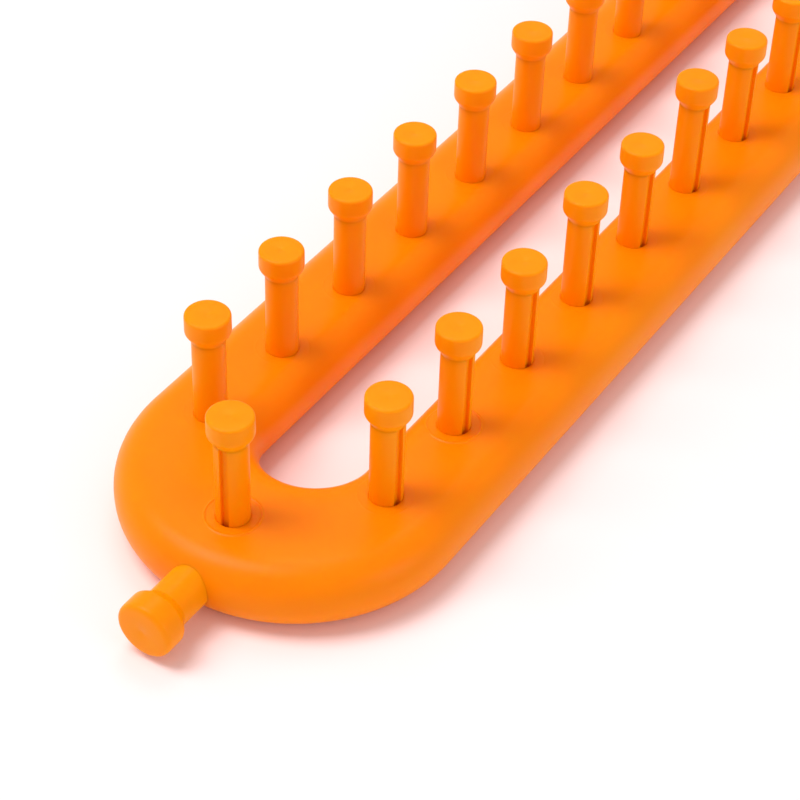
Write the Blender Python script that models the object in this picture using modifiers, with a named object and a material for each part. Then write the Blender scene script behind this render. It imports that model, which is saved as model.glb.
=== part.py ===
"""A long knitting loom: a slotted ring rail with headed pegs pushed into sockets, and a level
anchor peg at one end. Lengths are in metres, X runs along the loom, Z is up, the rail rests on
Z = 0, and the anchor peg points along -X."""
import math

import bmesh
import bpy
from mathutils import Matrix, Vector

# Rows of pegs
pegs_per_side = 12
peg_pitch = 0.0170
row_half_gap = 0.0144
end_peg_reach = 0.0146

# Rail: a flat ring with fully rounded edges and a long slot
outer_margin = 0.0105
inner_margin = 0.0066
slot_end_inset = 0.0045
rail_height = 0.0100
edge_radius = 0.0048
end_arc_steps = 28
edge_steps = 5

# Row and end pegs
peg_rise = 0.0175
peg_depth = 0.0078
peg_head_radius = 0.0032
peg_head_height = 0.00285
peg_head_bevel = 0.0003
peg_neck_height = 0.0013
peg_shank_radius = 0.00235
peg_tip_bevel = 0.0004
peg_sides = 18
groove_width = 0.0011
groove_depth = 0.0006

# How far each row's grooves are turned from straight outwards towards the near end, and the near end
# peg's towards the right row
row_groove_turn = math.radians(15)
end_groove_turn = math.radians(8)

# Pegs of the right row that stand proud of their neighbours, by number, and by how much
proud_pegs = {4: 0.0013, 6: 0.0021, 7: 0.0005}

# Level anchor peg, at half the rail's height
anchor_reach = 0.0095
anchor_tip_wall = 0.00175
anchor_head_radius = 0.0042
anchor_head_height = 0.0034
anchor_head_bevel = 0.0007
anchor_neck_height = 0.0014
anchor_shank_radius = 0.0031
anchor_tip_bevel = 0.0004
anchor_sides = 24

# Sockets in the rail, and the pockets that core out its underside between them
socket_clearance = 0.0003
socket_sides = 24
pocket_width = 0.0048
pocket_length = 0.0080
pocket_depth = 0.0068
pocket_corner = 0.0012
pocket_corner_steps = 2
cut_overrun = 0.0010

merge_distance = 0.00001
smooth_angle = math.radians(35)

# Places worked out from the sizes above
row_length = (pegs_per_side - 1) * peg_pitch
first_x = (anchor_reach - row_length) / 2
last_x = first_x + row_length
outer_radius = row_half_gap + outer_margin
slot_radius = row_half_gap - inner_margin
anchor_depth = outer_radius - end_peg_reach - peg_shank_radius - anchor_tip_wall

orange = (1.0, 0.293, 0.008)


def clear_scene():
    for item in list(bpy.data.objects):
        bpy.data.objects.remove(item, do_unlink=True)


def new_collection(name):
    group = bpy.data.collections.new(name)
    bpy.context.scene.collection.children.link(group)
    return group


def plastic(name, roughness):
    """Bright orange moulded plastic."""
    material = bpy.data.materials.new(name)
    material.use_nodes = True
    shader = material.node_tree.nodes["Principled BSDF"]
    shader.inputs["Base Color"].default_value = (*orange, 1.0)
    shader.inputs["Roughness"].default_value = roughness
    shader.inputs["Metallic"].default_value = 0.0
    return material


def evaluated_mesh(item, name):
    """The mesh of an object with its modifiers applied, and its loose seams welded."""
    graph = bpy.context.evaluated_depsgraph_get()
    mesh = bpy.data.meshes.new_from_object(item.evaluated_get(graph))
    mesh.name = name
    work = bmesh.new()
    work.from_mesh(mesh)
    bmesh.ops.remove_doubles(work, verts=work.verts, dist=merge_distance)
    bmesh.ops.recalc_face_normals(work, faces=work.faces)
    work.to_mesh(mesh)
    work.free()
    return mesh


def stadium(near_x, far_x, radius):
    """Points of a long loop with round ends, going anticlockwise from the far end's lower corner."""
    points = []
    for centre_x, start in ((far_x, -math.pi / 2), (near_x, math.pi / 2)):
        for step in range(end_arc_steps + 1):
            angle = start + math.pi * step / end_arc_steps
            points.append(Vector((centre_x + radius * math.cos(angle), radius * math.sin(angle), 0)))
    return points


def add_loop(curve, points):
    spline = curve.splines.new("POLY")
    spline.points.add(len(points) - 1)
    for place, point in zip(spline.points, points):
        place.co = (*point, 1)
    spline.use_cyclic_u = True


def rail_blank(parts):
    """The ring before it is drilled: a filled flat outline whose bevel rounds all four edges."""
    curve = bpy.data.curves.new("rail_outline", "CURVE")
    curve.dimensions = "2D"
    curve.fill_mode = "BOTH"
    curve.extrude = rail_height / 2 - edge_radius
    curve.bevel_depth = edge_radius
    curve.bevel_resolution = edge_steps
    add_loop(curve, stadium(first_x, last_x, outer_radius - edge_radius))
    slot = stadium(first_x + slot_end_inset, last_x - slot_end_inset, slot_radius + edge_radius)
    add_loop(curve, list(reversed(slot)))
    outline = bpy.data.objects.new("rail_outline", curve)
    outline.location.z = rail_height / 2
    parts.objects.link(outline)
    mesh = evaluated_mesh(outline, "frame")
    rail = bpy.data.objects.new("frame", mesh)
    rail.location = outline.location
    bpy.data.objects.remove(outline)
    parts.objects.link(rail)
    return rail


def turned(name, profile, sides, group):
    """A solid turned about Z from a profile that runs from the top down its outer side."""
    mesh = bpy.data.meshes.new(name)
    edges = [(index, index + 1) for index in range(len(profile) - 1)]
    mesh.from_pydata([(radius, 0, height) for radius, height in profile], edges, [])
    item = bpy.data.objects.new(name, mesh)
    group.objects.link(item)
    screw = item.modifiers.new("turn", "SCREW")
    screw.steps = sides
    screw.render_steps = sides
    screw.use_merge_vertices = True
    screw.merge_threshold = merge_distance
    return item


def peg_profile(rise, depth, head, shank, tip_bevel):
    """Head, neck and shank of a peg, with height 0 where the peg enters the rail."""
    head_radius, head_height, head_bevel, neck_height = head
    under_head = rise - head_height
    return [
        (0, rise),
        (head_radius - head_bevel, rise),
        (head_radius, rise - head_bevel),
        (head_radius, under_head),
        (shank, under_head - neck_height),
        (shank, tip_bevel - depth),
        (shank - tip_bevel, -depth),
        (0, -depth),
    ]


def box(name, size, group):
    mesh = bpy.data.meshes.new(name)
    work = bmesh.new()
    bmesh.ops.create_cube(work, size=1)
    bmesh.ops.scale(work, vec=size, verts=work.verts)
    work.to_mesh(mesh)
    work.free()
    item = bpy.data.objects.new(name, mesh)
    group.objects.link(item)
    return item


def mark_cutter(item):
    item.hide_render = True
    item.display_type = "WIRE"


def cut(item, cutter):
    boolean = item.modifiers.new("cut", "BOOLEAN")
    boolean.operation = "DIFFERENCE"
    boolean.solver = "EXACT"
    boolean.object = cutter


def grooved_peg_mesh(parts, cutters):
    """One peg with the yarn groove down the -Y side of its shank, below the neck."""
    head = (peg_head_radius, peg_head_height, peg_head_bevel, peg_neck_height)
    profile = peg_profile(peg_rise, peg_depth, head, peg_shank_radius, peg_tip_bevel)
    peg = turned("peg_blank", profile, peg_sides, parts)
    groove_top = peg_rise - peg_head_height - peg_neck_height
    groove_bottom = -peg_depth - cut_overrun
    groove = box("groove", (groove_width, groove_depth + cut_overrun, groove_top - groove_bottom), cutters)
    mark_cutter(groove)
    groove.location = (
        0,
        (groove_depth - cut_overrun) / 2 - peg_shank_radius,
        (groove_top + groove_bottom) / 2,
    )
    cut(peg, groove)
    mesh = evaluated_mesh(peg, "peg")
    bpy.data.objects.remove(peg)
    bpy.data.objects.remove(groove)
    return mesh


def smooth(mesh):
    mesh.shade_smooth()
    mesh.set_sharp_from_angle(angle=smooth_angle)


def row_place(number, side):
    """Where a row peg enters the rail's top. Number 1 is nearest the anchor peg."""
    return Vector((first_x + (number - 1) * peg_pitch, side * row_half_gap, rail_height))


def peg_places():
    """Name, place, groove heading and rise above its seat of every upright peg."""
    places = []
    for number in range(1, pegs_per_side + 1):
        places.append((f"peg_left_{number:02d}", row_place(number, 1), math.pi + row_groove_turn, 0))
        lift = proud_pegs.get(number, 0)
        places.append((f"peg_right_{number:02d}", row_place(number, -1), -row_groove_turn, lift))
    near = Vector((first_x - end_peg_reach, 0, rail_height))
    far = Vector((last_x + end_peg_reach, 0, rail_height))
    places.append(("peg_end_near", near, end_groove_turn - math.pi / 2, 0))
    places.append(("peg_end_far", far, math.pi / 2, 0))
    return places


def add_pegs(parts, cutters):
    mesh = grooved_peg_mesh(parts, cutters)
    smooth(mesh)
    for name, place, heading, lift in peg_places():
        peg = bpy.data.objects.new(name, mesh.copy())
        peg.data.materials.append(plastic(name + "_plastic", roughness=0.42))
        peg.location = place + Vector((0, 0, lift))
        peg.rotation_euler.z = heading
        parts.objects.link(peg)
    bpy.data.meshes.remove(mesh)


def anchor_place():
    """Where the anchor peg's axis meets the rail's rounded end."""
    return Vector((first_x - outer_radius, 0, rail_height / 2))


def add_anchor(parts):
    head = (anchor_head_radius, anchor_head_height, anchor_head_bevel, anchor_neck_height)
    profile = peg_profile(anchor_reach, anchor_depth, head, anchor_shank_radius, anchor_tip_bevel)
    blank = turned("anchor_blank", profile, anchor_sides, parts)
    mesh = evaluated_mesh(blank, "anchor_peg")
    bpy.data.objects.remove(blank)
    smooth(mesh)
    mesh.materials.append(plastic("anchor_peg_plastic", roughness=0.42))
    anchor = bpy.data.objects.new("anchor_peg", mesh)
    anchor.location = anchor_place()
    anchor.rotation_euler.y = -math.pi / 2
    parts.objects.link(anchor)


def bore(name, place, turn, radius, depth, sides, cutters):
    """A cutter for a blind round socket that opens at the place, along the turned -Z."""
    work = bmesh.new()
    bmesh.ops.create_cone(
        work, cap_ends=True, segments=sides, radius1=radius, radius2=radius, depth=depth + cut_overrun,
        matrix=Matrix.Translation((0, 0, (cut_overrun - depth) / 2)),
    )
    mesh = bpy.data.meshes.new(name)
    work.to_mesh(mesh)
    work.free()
    item = bpy.data.objects.new(name, mesh)
    item.location = place
    item.rotation_euler = turn
    cutters.objects.link(item)
    mark_cutter(item)
    return item


def pocket(name, x, y, turn, cutters):
    """A cutter for one pocket in the underside, its upright corners rounded."""
    item = box(name, (pocket_length, pocket_width, pocket_depth + cut_overrun), cutters)
    mark_cutter(item)
    item.location = (x, y, (pocket_depth - cut_overrun) / 2)
    item.rotation_euler.z = turn
    work = bmesh.new()
    work.from_mesh(item.data)
    upright = [edge for edge in work.edges if edge.verts[0].co.xy == edge.verts[1].co.xy]
    bmesh.ops.bevel(
        work, geom=upright, offset=pocket_corner, segments=pocket_corner_steps, affect="EDGES", profile=0.5,
    )
    work.to_mesh(item.data)
    work.free()
    return item


def add_sockets(cutters):
    for name, place, heading, lift in peg_places():
        radius = peg_shank_radius + socket_clearance
        bore("socket_" + name, place, (0, 0, heading), radius, peg_depth + socket_clearance, socket_sides, cutters)
    radius = anchor_shank_radius + socket_clearance
    depth = anchor_depth + socket_clearance
    bore("socket_anchor", anchor_place(), (0, -math.pi / 2, 0), radius, depth, socket_sides, cutters)


def add_pockets(cutters):
    """Pockets midway between neighbouring pegs, along the rows and round both ends."""
    for number in range(1, pegs_per_side):
        for side, label in ((1, "left"), (-1, "right")):
            place = row_place(number, side)
            pocket(f"pocket_{label}_{number:02d}", place.x + peg_pitch / 2, place.y, 0, cutters)
    for centre_x, label, headings in ((first_x, "near", (135, 225)), (last_x, "far", (45, 315))):
        for heading in headings:
            angle = math.radians(heading)
            x = centre_x + row_half_gap * math.cos(angle)
            y = row_half_gap * math.sin(angle)
            pocket(f"pocket_{label}_{heading}", x, y, angle + math.pi / 2, cutters)


def add_frame(parts, cutters):
    rail = rail_blank(parts)
    add_sockets(cutters)
    add_pockets(cutters)
    boolean = rail.modifiers.new("sockets and pockets", "BOOLEAN")
    boolean.operation = "DIFFERENCE"
    boolean.solver = "EXACT"
    boolean.operand_type = "COLLECTION"
    boolean.collection = cutters
    smooth(rail.data)
    rail.data.materials.append(plastic("frame_plastic", roughness=0.40))


clear_scene()
loom = new_collection("knitting_loom")
cutting_tools = new_collection("cutters")
add_pegs(loom, cutting_tools)
add_anchor(loom)
add_frame(loom, cutting_tools)
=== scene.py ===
import math

import bmesh
import bpy
import numpy as np
from mathutils import Matrix, Vector


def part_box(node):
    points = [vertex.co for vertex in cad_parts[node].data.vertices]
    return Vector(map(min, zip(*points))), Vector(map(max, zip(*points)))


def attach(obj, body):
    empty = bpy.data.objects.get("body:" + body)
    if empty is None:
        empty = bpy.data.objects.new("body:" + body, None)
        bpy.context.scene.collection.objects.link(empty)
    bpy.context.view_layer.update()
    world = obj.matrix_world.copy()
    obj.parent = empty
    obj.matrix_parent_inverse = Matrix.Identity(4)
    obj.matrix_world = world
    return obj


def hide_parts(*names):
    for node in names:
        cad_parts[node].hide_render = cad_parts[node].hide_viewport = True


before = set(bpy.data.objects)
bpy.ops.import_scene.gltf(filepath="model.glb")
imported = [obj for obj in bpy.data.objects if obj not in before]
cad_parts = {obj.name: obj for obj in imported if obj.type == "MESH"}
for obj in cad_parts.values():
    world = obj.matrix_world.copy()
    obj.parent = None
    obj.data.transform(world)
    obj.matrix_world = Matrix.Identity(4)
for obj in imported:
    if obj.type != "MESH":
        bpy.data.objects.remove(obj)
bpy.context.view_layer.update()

# Camera
# A long lens held at about forty degrees above the near end of the loom, a little to the right of it, so
# that the two rows run up and away to the right and the far end stays out of the picture.
mm = 0.001
peg_pitch = 17.0 * mm
rail_height = 10.0 * mm


def middle(node):
    """Plan place of the middle of a CAD node's box."""
    low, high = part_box(node)
    return np.array(((low.x + high.x) / 2, (low.y + high.y) / 2))


first_x = middle("peg_left_01")[0]
last_x = middle("peg_left_12")[0]
camera_heading = 0.552
camera_dip = 0.723
camera_roll = 0.036
camera_pitches = Vector((-10.978, -7.705, 12.410))
lens_mm = 103.3
sensor_mm = 36.0

forward = Vector((
    math.cos(camera_heading) * math.cos(camera_dip),
    math.sin(camera_heading) * math.cos(camera_dip),
    -math.sin(camera_dip),
))
level_right = Vector((math.sin(camera_heading), -math.cos(camera_heading), 0))
level_up = level_right.cross(forward)
right = level_right * math.cos(camera_roll) + level_up * math.sin(camera_roll)
up = level_up * math.cos(camera_roll) - level_right * math.sin(camera_roll)
camera_data = bpy.data.cameras.new("camera")
camera_data.lens = lens_mm
camera_data.sensor_width = sensor_mm
camera_data.clip_start = 10 * mm
camera = bpy.data.objects.new("camera", camera_data)
camera_place = Vector((first_x, 0, rail_height)) + camera_pitches * peg_pitch
camera_turn = Matrix((right, up, -forward)).transposed().to_4x4()
camera.matrix_world = Matrix.Translation(camera_place) @ camera_turn
bpy.context.scene.collection.objects.link(camera)
bpy.context.scene.camera = camera

# Rail
# One solid ring of orange ABS, moulded in one piece with a slot down its middle. All its edges are rolled
# over. Each peg hole has a softened mouth inside a faint raised ring, and pockets core the underside.
row_half_gap = 14.4 * mm
outer_radius = 24.9 * mm
slot_radius = 7.8 * mm
slot_end_inset = 4.5 * mm
edge_radius = 4.8 * mm
top_border = 1.6 * mm
row_steps, corner_steps, end_steps, across_steps = 20, 28, 32, 10
socket_radius = 2.36 * mm
socket_depth = 8.1 * mm
mouth_width, mouth_depth = 0.16 * mm, 0.10 * mm
ring_radius = 3.85 * mm
ring_height, clear_ring_height = 0.02 * mm, 0.13 * mm
clear_rings = ("peg_end_near", "peg_right_02")
ring_spread = 0.15 * mm
pocket_half_length, pocket_half_width = 4.0 * mm, 2.4 * mm
pocket_depth = 6.8 * mm
pocket_mouth = 0.25 * mm
pocket_draft, pocket_corner = 0.97, 0.90
weld_distance = 0.002 * mm
smooth_angle = math.radians(38)

pegs_per_side = 12
peg_order = [f"peg_left_{n:02d}" for n in range(1, pegs_per_side + 1)] + ["peg_end_far"]
peg_order += [f"peg_right_{n:02d}" for n in range(pegs_per_side, 0, -1)] + ["peg_end_near"]
one_side = [corner_steps] + [row_steps] * (pegs_per_side - 2) + [corner_steps, end_steps]
stretch_steps = np.array(one_side + one_side)
stretch_start = np.concatenate(([0], np.cumsum(stretch_steps)))
station_count = int(stretch_start[-1])


def loop_point(distance, near_x, far_x, radius):
    """Points and outward normals at distances along a long loop: from the near end up the left side, round
    the far end, back down the right side and round the near end."""
    half = far_x - near_x + math.pi * radius
    distance = distance % (2 * half)
    back = distance >= half
    along = np.where(back, distance - half, distance)
    turn = np.clip((along - (far_x - near_x)) / radius, 0, math.pi)
    run = np.minimum(along, far_x - near_x)
    centre = np.where(back, far_x - run, near_x + run)
    angle = math.pi / 2 - turn - np.where(back, math.pi, 0)
    normal = np.stack((np.cos(angle), np.sin(angle)), axis=-1)
    return normal * radius + np.stack((centre, 0 * centre), axis=-1), normal


def stations(near_x, far_x, radius):
    """Points and normals at every station of a loop. Each peg has a stretch of it, with borders halfway to
    the next peg; along the rows the stations crowd towards the peg as the tangent of an even angle does."""
    side, arc = far_x - near_x, math.pi * radius
    borders = first_x + (np.arange(1, pegs_per_side) - 0.5) * peg_pitch
    borders = np.concatenate((
        [-arc / 4], borders - near_x, [side + arc / 4, side + 3 * arc / 4],
        side + arc + far_x - borders[::-1], [2 * side + 5 * arc / 4, 2 * side + 7 * arc / 4],
    ))
    distances = []
    for start, end, steps in zip(borders[:-1], borders[1:], stretch_steps):
        share = np.arange(steps) / steps
        if steps == row_steps:
            share = 0.5 + 0.5 * np.tan((share - 0.5) * 2) / math.tan(1)
        distances.append(start + (end - start) * share)
    return loop_point(np.concatenate(distances), near_x, far_x, radius)


def edge_drop(inset):
    """How far a rolled edge has fallen at a distance in from its outline: a quarter circle."""
    short = np.clip(edge_radius - inset, 0, edge_radius)
    return edge_radius - np.sqrt(edge_radius ** 2 - short ** 2)


def top_height(plan):
    """Height of the ring's top over plan points: level, less the fall towards the slot and the rim."""
    x, y = plan[..., 0], plan[..., 1]
    slot_x = x - np.clip(x, first_x + slot_end_inset, last_x - slot_end_inset)
    rim_x = x - np.clip(x, first_x, last_x)
    from_slot = np.hypot(slot_x, y) - slot_radius
    from_rim = outer_radius - np.hypot(rim_x, y)
    return rail_height - edge_drop(from_slot) - edge_drop(from_rim)


def lifted(plan, height):
    """Plan points with a height, which may be one number."""
    return np.concatenate((plan, np.broadcast_to(height, plan.shape[:-1])[..., None]), axis=-1)


def rolled_edge(points, inward, top_angle, steps):
    """A side of the ring: from a rolled upper edge, down the short upright part, under a rolled lower edge.
    At each angle the surface is in from the outline by the radius less its cosine part."""
    upper = np.linspace(top_angle, 0, steps)
    lower = np.linspace(0, -math.pi / 2, steps + 2)
    angle = np.concatenate((upper, lower))
    base = np.where(np.arange(angle.size) < upper.size, rail_height - edge_radius, edge_radius)
    inset = edge_radius * (1 - np.cos(angle))
    plan = points[None] + inset[:, None, None] * inward[None]
    return lifted(plan, (base + edge_radius * np.sin(angle))[:, None])


def stretch_border(start, end, inner, outer):
    """Closed border of the stretch between two stations: slot side, end, rim side, end."""
    index = np.arange(start, end + 1) % station_count
    share = (np.arange(1, across_steps) / across_steps)[:, None]
    inside, outside = inner[index], outer[index][::-1]
    return np.concatenate((
        inside, inside[-1] + (outside[0] - inside[-1]) * share,
        outside, outside[-1] + (inside[0] - outside[-1]) * share,
    ))


def socket_stretch(centre, border, raised):
    """The ring's top round one peg hole, on rays from its middle to the border: floor, wall, the mouth's
    quarter circle, the raised ring as a bell curve of the distance, and the level top beyond."""
    ray = border - centre
    reach = np.linalg.norm(ray, axis=1)
    ray = ray / reach[:, None]
    roll = np.linspace(0, math.pi / 2, 5)
    mouth = socket_radius + mouth_width * (1 - np.cos(roll))
    ring_rows = np.array((-4.5, -2.5, -1.7, -1.1, -0.6, -0.2, 0.2, 0.6, 1.1, 1.7, 3.0))
    near_ring = ring_radius + ring_spread * ring_rows
    share = np.linspace(0, 1, 7)[1:, None]
    radius = np.concatenate((
        np.broadcast_to([[0.0], [socket_radius]], (2, reach.size)),
        np.broadcast_to(mouth[:, None], (mouth.size, reach.size)),
        np.broadcast_to(near_ring[:, None], (near_ring.size, reach.size)),
        near_ring[-1] + (reach - near_ring[-1]) * share,
    ))
    plan = centre + radius[..., None] * ray
    height = top_height(plan) + raised * np.exp(-((radius - ring_radius) / ring_spread) ** 2)
    height[:2] = rail_height - socket_depth
    height[2:2 + mouth.size] -= (mouth_depth * (1 - np.sin(roll)))[:, None]
    return lifted(plan, height)


def pocket_stretch(centre, heading, border):
    """The underside round one pocket, on rays from its middle: the flat rim, a softened mouth, the wall with
    a little draft and the pocket's roof. Its outline is a squared oval, an ellipse to the eighth power."""
    ray = border - centre
    reach = np.linalg.norm(ray, axis=1)
    ray = ray / reach[:, None]
    angle = np.arctan2(ray[:, 1], ray[:, 0]) - heading
    outline = (
        np.abs(np.cos(angle) / pocket_half_length) ** 8 + np.abs(np.sin(angle) / pocket_half_width) ** 8
    ) ** (-1 / 8)
    shares = np.array((1, 0.65, 0.3, 0.0))[:, None]
    roll = np.linspace(0, math.pi / 2, 4)[1:]
    radius = np.concatenate((
        outline + pocket_mouth + (reach - outline - pocket_mouth) * shares,
        outline + pocket_mouth * (1 - np.sin(roll))[:, None],
        (outline * pocket_draft)[None], (outline * pocket_corner)[None], (outline * 0.0)[None],
    ))
    height = np.concatenate((
        np.zeros(4), pocket_mouth * (1 - np.cos(roll)), [pocket_depth * 0.96, pocket_depth, pocket_depth],
    ))
    return lifted(centre + radius[..., None] * ray, height[:, None])


def woven_mesh(name, grids):
    """A closed mesh from grids of points (rows, columns, xyz) whose rows close on themselves. The seams
    between grids are welded and the faces turned outwards."""
    points, faces, count = [], [], 0
    for grid in grids:
        corner = count + np.arange(grid.shape[0] * grid.shape[1]).reshape(grid.shape[:2])
        ahead = np.roll(corner, -1, axis=1)
        faces.append(np.stack((corner[:-1], ahead[:-1], ahead[1:], corner[1:]), axis=-1).reshape(-1, 4))
        points.append(grid.reshape(-1, 3))
        count += corner.size
    mesh = bpy.data.meshes.new(name)
    mesh.from_pydata(np.concatenate(points).tolist(), [], np.concatenate(faces).tolist())
    work = bmesh.new()
    work.from_mesh(mesh)
    bmesh.ops.remove_doubles(work, verts=work.verts, dist=weld_distance)
    bmesh.ops.recalc_face_normals(work, faces=work.faces)
    work.to_mesh(mesh)
    work.free()
    return mesh


def soften(mesh):
    """Smooth shading, with the hard corners kept."""
    mesh.shade_smooth()
    mesh.set_sharp_from_angle(angle=smooth_angle)


def placed(name, mesh, material):
    piece = bpy.data.objects.new(name, mesh)
    bpy.context.scene.collection.objects.link(piece)
    soften(mesh)
    mesh.materials.clear()
    mesh.materials.append(material)
    return piece


def linear(colour):
    """An sRGB hex colour as linear red, green, blue and alpha."""
    parts = [int(colour[place:place + 2], 16) / 255 for place in (1, 3, 5)]
    return tuple(p / 12.92 if p <= 0.04045 else ((p + 0.055) / 1.055) ** 2.4 for p in parts) + (1.0,)


def add_node(tree, kind, values=None, links=None, **settings):
    """Adds a node, sets its properties and socket values, and links outputs to its sockets."""
    node = tree.nodes.new(kind)
    for key, value in settings.items():
        setattr(node, key, value)
    for key, value in (values or {}).items():
        node.inputs[key].default_value = value
    for key, output in (links or {}).items():
        tree.links.new(output, node.inputs[key])
    return node


def moulded_abs(name, colour, deep, roughness):
    """Satin injection-moulded ABS. It gives a clean saturated orange with broad soft highlights, faint flow
    marks where the melt met, a fine eggshell skin, and now and then a dark speck of burnt resin. Light sinks
    about a millimetre into it, red the deepest."""
    flow_mm, skin_mm, sheen_mm, speck_cell_mm, speck_mm = 14.0, 0.35, 4.0, 11.0, 0.10
    skin_strength, skin_rise_mm, sheen_swing, glow_mm = 0.12, 0.02, 0.05, 1.2
    burnt = "#A84A08"
    material = bpy.data.materials.new(name)
    material.use_nodes = True
    tree = material.node_tree
    tree.nodes.clear()
    place = add_node(tree, "ShaderNodeTexCoord").outputs["Object"]
    flow = add_node(
        tree, "ShaderNodeTexNoise", {"Scale": 1 / (flow_mm * mm), "Detail": 3.0, "Roughness": 0.45},
        {"Vector": place},
    )
    tint = add_node(
        tree, "ShaderNodeMapRange", {"From Min": 0.3, "From Max": 0.7}, {"Value": flow.outputs["Fac"]},
    )
    body = add_node(
        tree, "ShaderNodeMix", {"A": linear(colour), "B": linear(deep)}, {"Factor": tint.outputs["Result"]},
        data_type="RGBA",
    )
    speck = add_node(
        tree, "ShaderNodeTexVoronoi", {"Scale": 1 / (speck_cell_mm * mm), "Randomness": 1.0},
        {"Vector": place},
    )
    speck_edge = speck_mm / speck_cell_mm
    spot = add_node(
        tree, "ShaderNodeMapRange",
        {"From Min": speck_edge * 0.6, "From Max": speck_edge, "To Min": 1.0, "To Max": 0.0},
        {"Value": speck.outputs["Distance"]},
    )
    surface = add_node(
        tree, "ShaderNodeMix", {"B": linear(burnt)},
        {"Factor": spot.outputs["Result"], "A": body.outputs["Result"]}, data_type="RGBA",
    )
    sheen = add_node(
        tree, "ShaderNodeTexNoise", {"Scale": 1 / (sheen_mm * mm), "Detail": 2.0}, {"Vector": place},
    )
    rough = add_node(
        tree, "ShaderNodeMapRange", {"To Min": roughness - sheen_swing, "To Max": roughness + sheen_swing},
        {"Value": sheen.outputs["Fac"]},
    )
    skin = add_node(
        tree, "ShaderNodeTexNoise", {"Scale": 1 / (skin_mm * mm), "Detail": 2.0}, {"Vector": place},
    )
    bump = add_node(
        tree, "ShaderNodeBump", {"Strength": skin_strength, "Distance": skin_rise_mm * mm},
        {"Height": skin.outputs["Fac"]},
    )
    shader = add_node(
        tree, "ShaderNodeBsdfPrincipled", {
            "IOR": 1.5, "Metallic": 0.0, "Specular IOR Level": 0.10, "Subsurface Weight": 0.5,
            "Subsurface Radius": (1.0, 0.35, 0.15), "Subsurface Scale": glow_mm * mm,
        },
        {
            "Base Color": surface.outputs["Result"], "Roughness": rough.outputs["Result"],
            "Normal": bump.outputs["Normal"],
        },
    )
    add_node(tree, "ShaderNodeOutputMaterial", None, {"Surface": shader.outputs["BSDF"]})
    return material


slot_points, slot_normals = stations(first_x + slot_end_inset, last_x - slot_end_inset, slot_radius)
rim_points, rim_normals = stations(first_x, last_x, outer_radius)
slot_angle = math.acos(1 - top_border / edge_radius)
rail_grids = [
    rolled_edge(slot_points, slot_normals, slot_angle, 8),
    rolled_edge(rim_points, -rim_normals, math.pi / 2, 12),
]
top_inner = slot_points + top_border * slot_normals
top_outer = rim_points - edge_radius * rim_normals
under_inner = slot_points + edge_radius * slot_normals
stretch_middle = stretch_start[:-1] + stretch_steps // 2
for number, node in enumerate(peg_order):
    border = stretch_border(stretch_start[number], stretch_start[number + 1], top_inner, top_outer)
    raised = clear_ring_height if node in clear_rings else ring_height
    rail_grids.append(socket_stretch(middle(node), border, raised))
    following = (number + 1) % len(peg_order)
    here, ahead = middle(node), middle(peg_order[following])
    centre = (here + ahead) / 2
    step = ahead - here
    # Round the ends the pocket lies on the circle of the pegs
    if min(abs(step)) > mm:
        hub = np.array((np.clip(centre[0], first_x, last_x), 0))
        centre = hub + (centre - hub) / np.linalg.norm(centre - hub) * row_half_gap
    end_station = stretch_middle[following] + (station_count if following == 0 else 0)
    border = stretch_border(stretch_middle[number], end_station, under_inner, top_outer)
    rail_grids.append(pocket_stretch(centre, math.atan2(step[1], step[0]), border))
satin = 0.34
rail_orange, rail_flow = "#FF8700", "#FF8100"
rail_abs = moulded_abs("moulded_abs_rail", rail_orange, rail_flow, satin)
rail = placed("rail", woven_mesh("rail", rail_grids), rail_abs)
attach(rail, "frame")
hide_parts("frame")

# Upright pegs
# Twenty-six pegs of the same ABS, turned in shape: a flat button head that the yarn loops over, a sloping
# neck and a round shank with a groove down its outer side for the hook. Each is pushed into its hole.
peg_rise, peg_depth = 17.5 * mm, 7.8 * mm
head_radius, head_height, neck_height = 3.2 * mm, 2.85 * mm, 1.3 * mm
shank_radius = 2.35 * mm
groove_half_width, groove_depth = 0.55 * mm, 0.6 * mm
groove_wall = 0.07 * mm
groove_start, groove_fade = 0.10 * mm, 0.14 * mm
head_rounding, lip_rounding, neck_rounding = 0.45 * mm, 0.3 * mm, 0.25 * mm
tip_bevel = 0.4 * mm
# The pegs' orange is a little lighter than the rail's. This is painted light: it stands for the brighter
# light that their head tops catch.
peg_orange_painted_lighter, peg_flow_painted_lighter = "#FF9200", "#FF8C00"
row_groove_turn, end_groove_turn = math.radians(15), math.radians(8)
gate_radius, gate_depth = 0.45 * mm, 0.03 * mm


def rounded(corners, steps=6):
    """A profile through corner points (radius, height, rounding): each corner gives way to a curve that
    starts and ends at the rounding's distance from it."""
    profile = []
    for index, (radius, height, rounding) in enumerate(corners):
        corner = np.array((radius, height))
        if rounding == 0:
            profile.append(corner[None])
            continue
        before = np.array(corners[index - 1][:2]) - corner
        after = np.array(corners[index + 1][:2]) - corner
        start = corner + before / np.linalg.norm(before) * rounding
        end = corner + after / np.linalg.norm(after) * rounding
        share = np.linspace(0, 1, steps)[:, None]
        profile.append((1 - share) ** 2 * start + 2 * share * (1 - share) * corner + share ** 2 * end)
    return np.concatenate(profile)


def ease(value):
    """A step from 0 to 1 with a soft start and end."""
    value = np.clip(value, 0, 1)
    return value * value * (3 - 2 * value)


def round_angles():
    """Angles round a peg from its groove, close together at the groove's two walls."""
    wall = groove_half_width + groove_wall * np.array((-6.5, -3, -1, -0.5, 0, 0.5, 1, 2))
    near = np.concatenate(([0, 0.4 * wall[0]], wall))
    half = np.arcsin(near / shank_radius)
    rest = np.linspace(half[-1], math.pi, 26)[1:]
    half = np.concatenate((half, rest))
    return np.concatenate((half, -half[-2:0:-1]))


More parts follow.
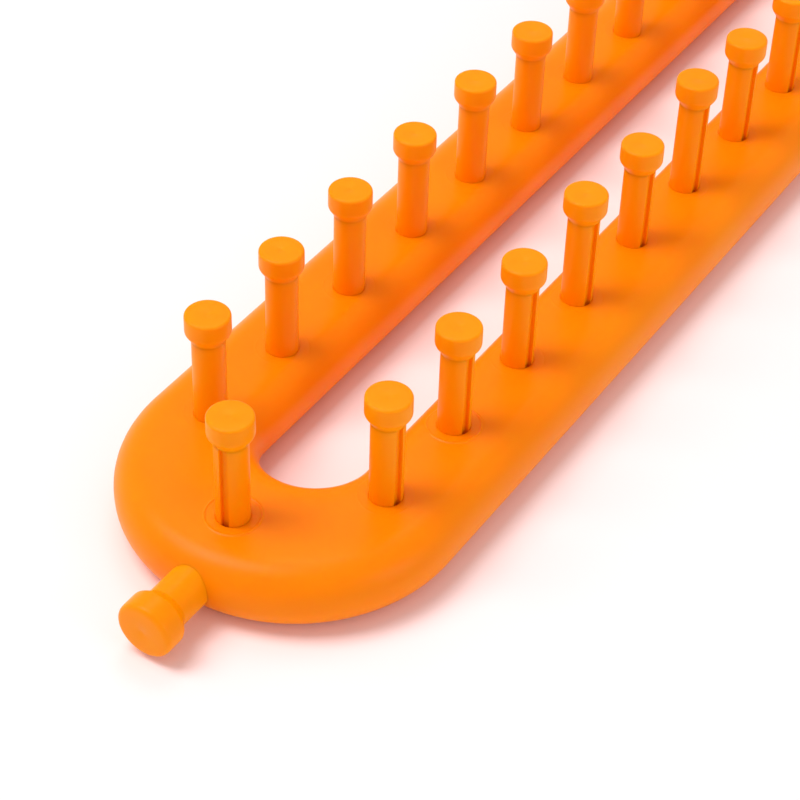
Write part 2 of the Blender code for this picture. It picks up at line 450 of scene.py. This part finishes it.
def peg_grid():
    """A peg about its own axis, its groove towards +X: a profile turned about the axis, whose shank is
    pushed in along X by the groove's depth, within its width and below the neck."""
    under_head = peg_rise - head_height
    groove_top = under_head - neck_height - groove_start
    shank_rows = groove_top + np.array((0.05, -0.02, -0.06, -0.10, -0.14, -0.2, -1, -3, -6, -9, -12)) * mm
    profile = rounded([
        (0, peg_rise - gate_depth, 0), (gate_radius * 0.8, peg_rise - gate_depth, 0),
        (gate_radius, peg_rise, 0), (head_radius * 0.6, peg_rise, 0), (head_radius, peg_rise, head_rounding),
        (head_radius, under_head, lip_rounding), (shank_radius, under_head - neck_height, neck_rounding),
    ] + [(shank_radius, height, 0) for height in shank_rows] + [
        (shank_radius, tip_bevel - peg_depth, 0), (shank_radius - tip_bevel, -peg_depth, 0),
        (0, -peg_depth, 0),
    ])
    angle = round_angles()
    radius, height = profile[:, :1], profile[:, 1:]
    outward, across = radius * np.cos(angle), radius * np.sin(angle)
    within = ease((groove_half_width + groove_wall - np.abs(across)) / (2 * groove_wall))
    within = within * ease((groove_top - height) / groove_fade) * (outward > 0)
    return np.stack((outward - groove_depth * within, across, height + 0 * across), axis=-1)


def stood(grid, place, heading):
    """A grid turned about Z to a heading and moved to its place."""
    turn = np.array(Matrix.Rotation(heading, 3, "Z"))
    return grid @ turn.T + place


peg_abs = moulded_abs("moulded_abs_pegs", peg_orange_painted_lighter, peg_flow_painted_lighter, satin)
peg_shape = peg_grid()
headings = {
    "left": math.pi / 2 + row_groove_turn, "right": -math.pi / 2 - row_groove_turn,
    "end_near": math.pi + end_groove_turn, "end_far": 0,
}
for node in peg_order:
    seat = middle(node)
    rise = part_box(node)[1].z - peg_rise
    heading = next(angle for key, angle in headings.items() if key in node)
    grid = stood(peg_shape, (seat[0], seat[1], rise), heading)
    peg = placed(node + "_turned", woven_mesh(node + "_turned", [grid]), peg_abs)
    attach(peg, node)
    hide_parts(node)

# Anchor peg
# A stouter peg of the same plastic that the first tail of yarn is wound on. It is pushed level into the
# middle of the near end.
anchor_reach = 9.5 * mm
anchor_depth = 6.2 * mm
anchor_head_radius, anchor_head_height, anchor_neck_height = 4.2 * mm, 3.4 * mm, 1.4 * mm
anchor_head_rounding, anchor_neck_rounding = 0.9 * mm, 0.3 * mm
anchor_shank_radius = 3.1 * mm
anchor_socket_radius = 3.11 * mm
anchor_columns = 96


def turned(profile, columns):
    """A profile of (radius, height) points turned about Z."""
    angle = np.arange(columns) / columns * 2 * math.pi
    radius, height = profile[:, :1], profile[:, 1:]
    return np.stack((radius * np.cos(angle), radius * np.sin(angle), height + 0 * angle), axis=-1)


def levelled(grid, place):
    """A grid whose Z axis is laid along -X and whose foot is moved to its place."""
    return np.stack((-grid[..., 2], grid[..., 1], grid[..., 0]), axis=-1) + place


anchor_foot = np.array((first_x - outer_radius, 0, rail_height / 2))
anchor_under = anchor_reach - anchor_head_height
anchor_profile = rounded([
    (0, anchor_reach - gate_depth, 0), (gate_radius * 0.8, anchor_reach - gate_depth, 0),
    (gate_radius, anchor_reach, 0), (anchor_head_radius * 0.5, anchor_reach, 0),
    (anchor_head_radius, anchor_reach, anchor_head_rounding),
    (anchor_head_radius, anchor_under, lip_rounding),
    (anchor_shank_radius, anchor_under - anchor_neck_height, anchor_neck_rounding),
    (anchor_shank_radius, 0, 0), (anchor_shank_radius, tip_bevel - anchor_depth, 0),
    (anchor_shank_radius - tip_bevel, -anchor_depth, 0), (0, -anchor_depth, 0),
])
anchor_grid = levelled(turned(anchor_profile, anchor_columns), anchor_foot)
anchor_mesh = woven_mesh("anchor_peg_turned", [anchor_grid])
# The anchor shares the pegs' lighter orange, which is painted light.
anchor_abs = moulded_abs("moulded_abs_anchor", peg_orange_painted_lighter, peg_flow_painted_lighter, satin)
anchor = placed("anchor_peg_turned", anchor_mesh, anchor_abs)
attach(anchor, "anchor_peg")
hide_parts("anchor_peg")

# The anchor peg's hole, drilled into the rail's rolled end
drill_lead, hole_clearance = 1.5 * mm, 0.3 * mm
hole_end = -anchor_depth - hole_clearance
drill_profile = np.array((
    (0, drill_lead), (anchor_socket_radius, drill_lead), (anchor_socket_radius, hole_end), (0, hole_end),
))
drill_mesh = woven_mesh("anchor_drill", [levelled(turned(drill_profile, anchor_columns), anchor_foot)])
drill = bpy.data.objects.new("anchor_drill", drill_mesh)
bpy.context.scene.collection.objects.link(drill)
drilled = rail.modifiers.new("anchor hole", "BOOLEAN")
drilled.operation = "DIFFERENCE"
drilled.solver = "EXACT"
drilled.object = drill
bpy.context.view_layer.update()
finished = bpy.data.meshes.new_from_object(rail.evaluated_get(bpy.context.evaluated_depsgraph_get()))
rail.modifiers.clear()
rail.data = finished
soften(finished)
bpy.data.objects.remove(drill)

# Table
# A plain white table top that the loom lies on. It keeps the loom's soft shadow and its orange bounce, and
# to camera and mirror rays it is faintly pink: painted orange bounce that reddens those shadows.
table_half = 2.5
table_drop = 0.02 * mm
table_mesh = bpy.data.meshes.new("table")
corners = [(x * table_half, y * table_half, -table_drop) for x, y in ((-1, -1), (1, -1), (1, 1), (-1, 1))]
table_mesh.from_pydata(corners, [], [(0, 1, 2, 3)])
table_white = bpy.data.materials.new("matt_white_board")
table_white.use_nodes = True
table_tree = table_white.node_tree
table_tree.nodes.clear()
seen = add_node(table_tree, "ShaderNodeLightPath")
seen_or_mirrored = add_node(
    table_tree, "ShaderNodeMath", None,
    {0: seen.outputs["Is Camera Ray"], 1: seen.outputs["Is Glossy Ray"]}, operation="MAXIMUM",
)
# White for light bounced onto the loom, faintly pink where the camera or a mirror sees the board. The pink
# is painted bounce that only shows in the shadows, since the open board still renders white.
board_tone_with_painted_bounce = add_node(
    table_tree, "ShaderNodeMix", {"A": linear("#FCFCFC"), "B": linear("#FFEDED")},
    {"Factor": seen_or_mirrored.outputs["Value"]}, data_type="RGBA",
)
board = add_node(table_tree, "ShaderNodeBsdfDiffuse", None, {"Color": board_tone_with_painted_bounce.outputs["Result"]})
add_node(table_tree, "ShaderNodeOutputMaterial", None, {"Surface": board.outputs["BSDF"]})
table = bpy.data.objects.new("table", table_mesh)
bpy.context.scene.collection.objects.link(table)
table_mesh.materials.append(table_white)

# Light
# A white tent lights the loom evenly from all round. Two soft lamps stand on its left, one above the other,
# and two weaker ones low on its right and high beyond its far end. All are wide, for soft shadows.
tent = bpy.data.worlds.new("tent")
tent.use_nodes = True
tent.node_tree.nodes["Background"].inputs["Color"].default_value = linear("#FFFFFF")
tent.node_tree.nodes["Background"].inputs["Strength"].default_value = 0.54
bpy.context.scene.world = tent
lamp_distance = 0.95
lamp_width = 0.45
lamp_target = Vector((first_x + 30 * mm, 0, 0))
lamps = (
    ("left_lamp", (-0.304, 0.486, 0.819), 2.8),
    ("high_left_lamp", (-0.164, 0.262, 0.951), 3.1),
    ("right_lamp", (0.0, -0.951, 0.309), 1.4),
    ("far_lamp", (0.398, 0.249, 0.883), 1.1),
)
for lamp_name, way, watts in lamps:
    lamp_data = bpy.data.lights.new(lamp_name, "AREA")
    lamp_data.shape = "DISK"
    lamp_data.size = lamp_width
    lamp_data.energy = watts
    lamp = bpy.data.objects.new(lamp_name, lamp_data)
    lamp.location = lamp_target + Vector(way).normalized() * lamp_distance
    lamp.rotation_euler = Vector(way).to_track_quat("Z", "Y").to_euler()
    bpy.context.scene.collection.objects.link(lamp)

bpy.context.scene.view_settings.view_transform = "Standard"
